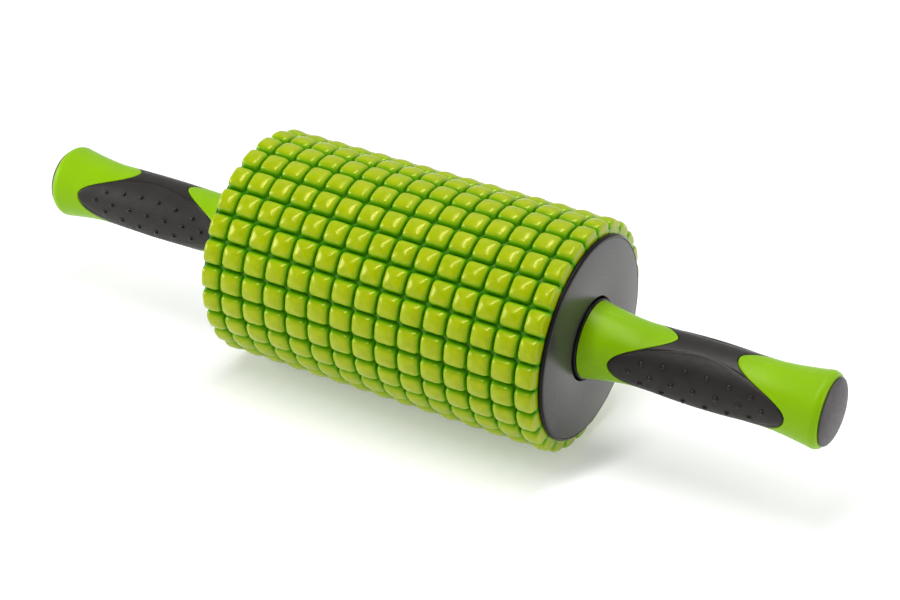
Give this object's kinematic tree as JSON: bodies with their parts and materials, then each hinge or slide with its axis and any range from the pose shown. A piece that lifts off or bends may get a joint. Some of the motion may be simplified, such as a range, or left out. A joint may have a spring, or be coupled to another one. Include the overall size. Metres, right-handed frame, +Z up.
{
  "type": "foot massage roller",
  "caption": "Foam massage roller with pillow-shaped nubs, spinning on an axle between two flared handles with rubber grips.",
  "frame": {"origin": "centre of the barrel, on the axle", "axes": "+X along the axle towards the right handle, +Z up, with a row of nubs pointing straight down"},
  "size_m": [0.4926, 0.1286, 0.128],
  "materials": {
    "lime_foam": "satin",
    "lime_plastic": "satin",
    "black_rubber": "matte",
    "black_plastic": "satin",
    "grey_plastic": "matte",
    "white_acetal": "satin",
    "bright_steel": "satin"
  },
  "bodies": {
    "handle_frame": {"axle": "bright_steel", "right_axle_clip": "bright_steel", "left_axle_clip": "bright_steel", "right_thrust_washer": "white_acetal", "left_thrust_washer": "white_acetal", "right_collar": "black_plastic", "left_collar": "black_plastic", "right_handle_body": "lime_plastic", "left_handle_body": "lime_plastic", "right_grip": "black_rubber", "left_grip": "black_rubber", "right_end_cap": "grey_plastic", "left_end_cap": "grey_plastic", "right_handle_bolt": "bright_steel", "left_handle_bolt": "bright_steel", "right_bolt_washer": "bright_steel", "left_bolt_washer": "bright_steel"},
    "barrel": {"foam_sleeve": "lime_foam", "core_tube": "black_plastic", "right_end_disc": "black_plastic", "left_end_disc": "black_plastic", "right_bearing_bush": "white_acetal", "left_bearing_bush": "white_acetal"}
  },
  "joints": [
    {"name": "barrel_spin", "type": "hinge", "parent": "handle_frame", "child": "barrel", "pos_m": [0, 0, 0], "axis": [1, 0, 0], "continuous": true}
  ]
}
